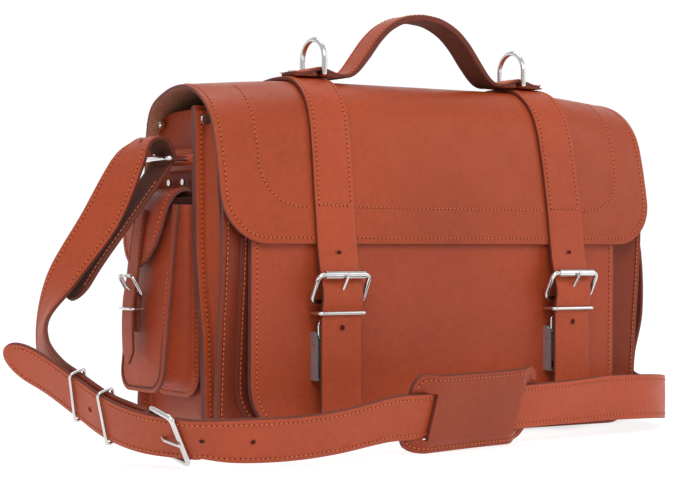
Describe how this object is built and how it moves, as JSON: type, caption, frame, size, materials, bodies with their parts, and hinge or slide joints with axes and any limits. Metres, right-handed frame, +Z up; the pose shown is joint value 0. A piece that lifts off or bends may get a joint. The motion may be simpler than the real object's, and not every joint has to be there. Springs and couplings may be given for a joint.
{
  "type": "leather briefcase",
  "caption": "Two-compartment leather satchel briefcase with arched flap, buckled front straps on lever clips, front and side pockets, carry handle, top D-rings and shoulder strap with pad.",
  "frame": {"origin": "middle of the divider's bottom edge, on the surface the bag stands on, half way across the bag", "axes": "+X to the right seen from the front, +Y to the back, +Z up; the front pocket and the buckles face -Y"},
  "size_m": [0.6539, 0.2781, 0.3602],
  "materials": {
    "panel_leather": "smooth cognac leather, semi-gloss",
    "gusset_leather": "smooth cognac leather, semi-gloss",
    "flap_leather": "smooth cognac leather, semi-gloss",
    "strap_leather": "smooth cognac leather straps, semi-gloss",
    "side_leather": "smooth cognac leather, semi-gloss",
    "hardware": "polished nickel plate"
  },
  "bodies": {
    "root": {"back_panel": "panel_leather", "divider_panel": "panel_leather", "rear_gusset": "gusset_leather", "front_gusset": "gusset_leather", "front_panel": "panel_leather", "pocket_gusset": "gusset_leather", "pocket_panel": "panel_leather", "left_pocket_wall": "side_leather", "right_pocket_wall": "side_leather", "left_side_panel": "side_leather", "right_side_panel": "side_leather", "left_clip_body": "hardware", "right_clip_body": "hardware", "clip_pins": "hardware", "clip_rivets": "hardware", "gusset_stud_caps": "hardware", "gusset_stud_sockets": "hardware", "side_rivets": "hardware", "ring_tabs": "strap_leather", "ring_buckles": "hardware", "strap_long": "strap_leather", "strap_short": "strap_leather", "strap_buckle": "hardware", "strap_keepers": "hardware"},
    "flap": {"flap": "flap_leather", "left_front_strap": "strap_leather", "right_front_strap": "strap_leather", "buckle_frames": "hardware", "buckle_tabs": "strap_leather", "front_keepers": "hardware", "carry_handle": "strap_leather", "handle_rivets": "hardware"},
    "left_ring": {"left_top_ring": "hardware"},
    "right_ring": {"right_top_ring": "hardware"},
    "left_roller": {"left_buckle_roller": "hardware"},
    "right_roller": {"right_buckle_roller": "hardware"},
    "left_prong": {"left_buckle_prong": "hardware"},
    "right_prong": {"right_buckle_prong": "hardware"},
    "left_loop": {"left_wire_loop": "hardware"},
    "right_loop": {"right_wire_loop": "hardware"},
    "left_lever": {"left_clip_lever": "hardware"},
    "right_lever": {"right_clip_lever": "hardware"},
    "left_pocket_flap": {"left_side_flap": "side_leather", "left_side_strap": "strap_leather", "left_side_buckle": "hardware", "left_side_keeper": "hardware", "left_side_tab": "strap_leather"},
    "right_pocket_flap": {"right_side_flap": "side_leather", "right_side_strap": "strap_leather", "right_side_buckle": "hardware", "right_side_keeper": "hardware", "right_side_tab": "strap_leather"},
    "left_small_prong": {"left_side_prong": "hardware"},
    "right_small_prong": {"right_side_prong": "hardware"},
    "left_ring_tongue": {"left_ring_prong": "hardware"},
    "right_ring_tongue": {"right_ring_prong": "hardware"},
    "strap_tongue": {"strap_prong": "hardware"},
    "pad": {"shoulder_pad": "strap_leather"}
  },
  "joints": [
    {"name": "flap_hinge", "type": "hinge", "parent": "root", "child": "flap", "pos_m": [0, 0.1005, 0.257], "axis": [-1, 0, 0], "range_deg": [0, 110]},
    {"name": "left_ring_swing", "type": "hinge", "parent": "flap", "child": "left_ring", "pos_m": [-0.105, 0.007, 0.3041], "axis": [0, 1, 0], "range_deg": [-80, 60]},
    {"name": "left_roller_spin", "type": "hinge", "parent": "flap", "child": "left_roller", "pos_m": [-0.12, -0.0646, 0.137], "axis": [1, 0, 0], "continuous": true},
    {"name": "left_prong_lift", "type": "hinge", "parent": "flap", "child": "left_prong", "pos_m": [-0.12, -0.0528, 0.1155], "axis": [1, 0, 0], "range_deg": [0, 10]},
    {"name": "left_loop_swing", "type": "hinge", "parent": "flap", "child": "left_loop", "pos_m": [-0.12, -0.052, 0.099], "axis": [-1, 0, 0], "range_deg": [0, 10]},
    {"name": "left_lever_press", "type": "hinge", "parent": "root", "child": "left_lever", "pos_m": [-0.12, -0.0495, 0.08], "axis": [-1, 0, 0], "range_deg": [0, 12], "stiffness_Nm_per_rad": 0.02},
    {"name": "left_pocket_flap_lift", "type": "hinge", "parent": "root", "child": "left_pocket_flap", "pos_m": [-0.2095, 0.054, 0.2045], "axis": [0, 1, 0], "range_deg": [0, 6]},
    {"name": "left_small_prong_lift", "type": "hinge", "parent": "left_pocket_flap", "child": "left_small_prong", "pos_m": [-0.2474, 0.054, 0.12], "axis": [0, -1, 0], "range_deg": [0, 8]},
    {"name": "left_ring_tongue_lift", "type": "hinge", "parent": "root", "child": "left_ring_tongue", "pos_m": [-0.2152, 0.04, 0.231], "axis": [0, 1, 0], "range_deg": [0, 8]},
    {"name": "right_ring_swing", "type": "hinge", "parent": "flap", "child": "right_ring", "pos_m": [0.105, 0.007, 0.3041], "axis": [0, -1, 0], "range_deg": [-80, 60]},
    {"name": "right_roller_spin", "type": "hinge", "parent": "flap", "child": "right_roller", "pos_m": [0.12, -0.0646, 0.137], "axis": [1, 0, 0], "continuous": true},
    {"name": "right_prong_lift", "type": "hinge", "parent": "flap", "child": "right_prong", "pos_m": [0.12, -0.0528, 0.1155], "axis": [1, 0, 0], "range_deg": [0, 10]},
    {"name": "right_loop_swing", "type": "hinge", "parent": "flap", "child": "right_loop", "pos_m": [0.12, -0.052, 0.099], "axis": [-1, 0, 0], "range_deg": [0, 10]},
    {"name": "right_lever_press", "type": "hinge", "parent": "root", "child": "right_lever", "pos_m": [0.12, -0.0495, 0.08], "axis": [-1, 0, 0], "range_deg": [0, 12], "stiffness_Nm_per_rad": 0.02},
    {"name": "right_pocket_flap_lift", "type": "hinge", "parent": "root", "child": "right_pocket_flap", "pos_m": [0.2095, 0.054, 0.2045], "axis": [0, -1, 0], "range_deg": [0, 6]},
    {"name": "right_small_prong_lift", "type": "hinge", "parent": "right_pocket_flap", "child": "right_small_prong", "pos_m": [0.2474, 0.054, 0.12], "axis": [0, 1, 0], "range_deg": [0, 8]},
    {"name": "right_ring_tongue_lift", "type": "hinge", "parent": "root", "child": "right_ring_tongue", "pos_m": [0.2152, 0.04, 0.231], "axis": [0, -1, 0], "range_deg": [0, 8]},
    {"name": "strap_tongue_lift", "type": "hinge", "parent": "root", "child": "strap_tongue", "pos_m": [-0.31612, -0.1198, 0.02658], "axis": [0.4975, 0.2992, -0.8142], "range_deg": [0, 8]},
    {"name": "pad_slide", "type": "slide", "parent": "root", "child": "pad", "axis": [0.9914, 0.1296, 0.0162], "range_m": [-0.012, 0.012]}
  ]
}
